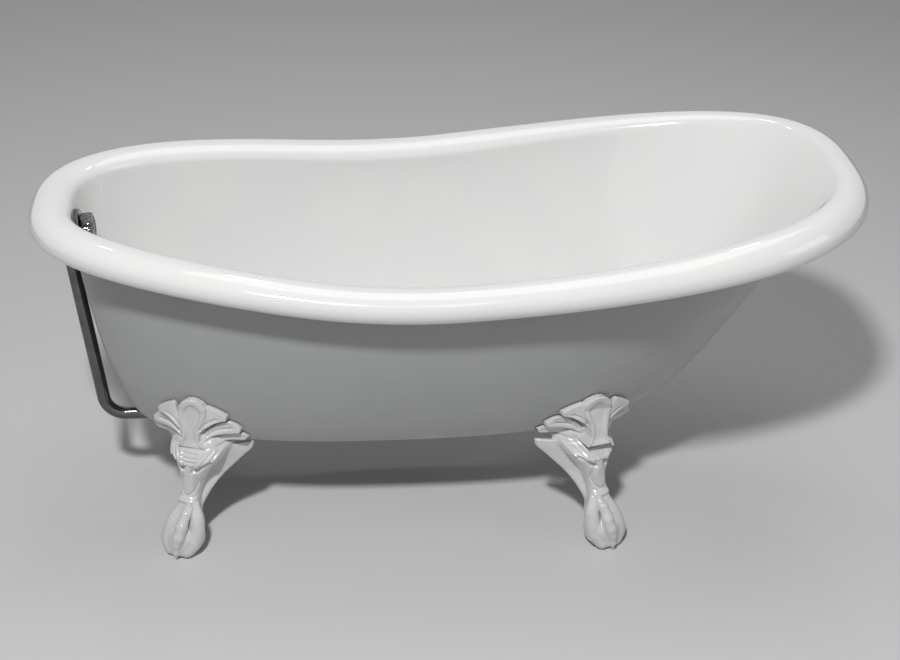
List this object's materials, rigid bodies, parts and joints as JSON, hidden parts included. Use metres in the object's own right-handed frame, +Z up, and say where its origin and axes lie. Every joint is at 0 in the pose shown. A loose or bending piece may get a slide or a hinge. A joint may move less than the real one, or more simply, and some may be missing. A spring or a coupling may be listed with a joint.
{
  "type": "clawfoot bathtub",
  "caption": "Freestanding cast-iron slipper bathtub with rolled rim on ball-and-claw feet, with an end-wall overflow, exposed overflow tube and knob-driven pop-up waste.",
  "frame": {"origin": "on the floor, under the middle of the rim's outer box", "axes": "+X along the tub towards the raised slipper end, +Y across it away from the picture's camera, +Z up"},
  "size_m": [1.5498, 0.7436, 0.7208],
  "materials": {
    "enamelled_iron": "gloss white enamel inside and over the rim, satin grey paint outside",
    "foot_enamel": "gloss white paint",
    "zinc_steel": "zinc plated",
    "chromed_brass": "polished chrome",
    "brass": "turned",
    "steel_pin": "stainless",
    "rubber": "matt",
    "polymer": "matt black"
  },
  "bodies": {
    "tub": {"tub_casting": "enamelled_iron", "foot_drain_near": "foot_enamel", "foot_drain_far": "foot_enamel", "foot_slipper_near": "foot_enamel", "foot_slipper_far": "foot_enamel", "foot_studs": "zinc_steel", "foot_washers": "zinc_steel", "foot_nuts": "zinc_steel", "drain_flange": "chromed_brass", "drain_bedding": "rubber", "drain_gasket": "rubber", "waste_cup": "chromed_brass", "rocker_pin": "steel_pin", "overflow_gasket": "rubber", "inner_gasket": "rubber", "overflow_housing": "chromed_brass", "overflow_bezel": "chromed_brass", "bezel_screws": "steel_pin", "spindle_bush": "polymer", "overflow_tube": "chromed_brass", "pull_cable": "polymer", "tube_seals": "rubber", "upper_tube_nut": "chromed_brass", "lower_tube_nut": "chromed_brass"},
    "knob": {"overflow_knob": "chromed_brass", "knob_set_screw": "steel_pin", "knob_spindle": "brass", "drive_crank": "brass"},
    "plug": {"plug_head": "chromed_brass", "plug_seal": "rubber", "plug_stem": "brass", "plug_lock_nut": "brass"},
    "rocker_arm": {"rocker": "brass"}
  },
  "joints": [
    {"name": "knob_turn", "type": "hinge", "parent": "tub", "child": "knob", "pos_m": [-0.7, 0, 0.595], "axis": [-0.9931, 0, -0.1169], "range_deg": [0, 90]},
    {"name": "plug_lift", "type": "slide", "parent": "tub", "child": "plug", "axis": [0, 0, 1], "range_m": [0, 0.01001]},
    {"name": "rocker_swing", "type": "hinge", "parent": "tub", "child": "rocker_arm", "pos_m": [-0.51308, 0, 0.194], "axis": [0, -1, 0], "range_deg": [0, 41.86]}
  ],
  "couplings": [
    {"joint": "plug_lift", "follows": "knob_turn", "m_per_rad": 0.0063662},
    {"joint": "rocker_swing", "follows": "knob_turn", "ratio": 0.465}
  ]
}
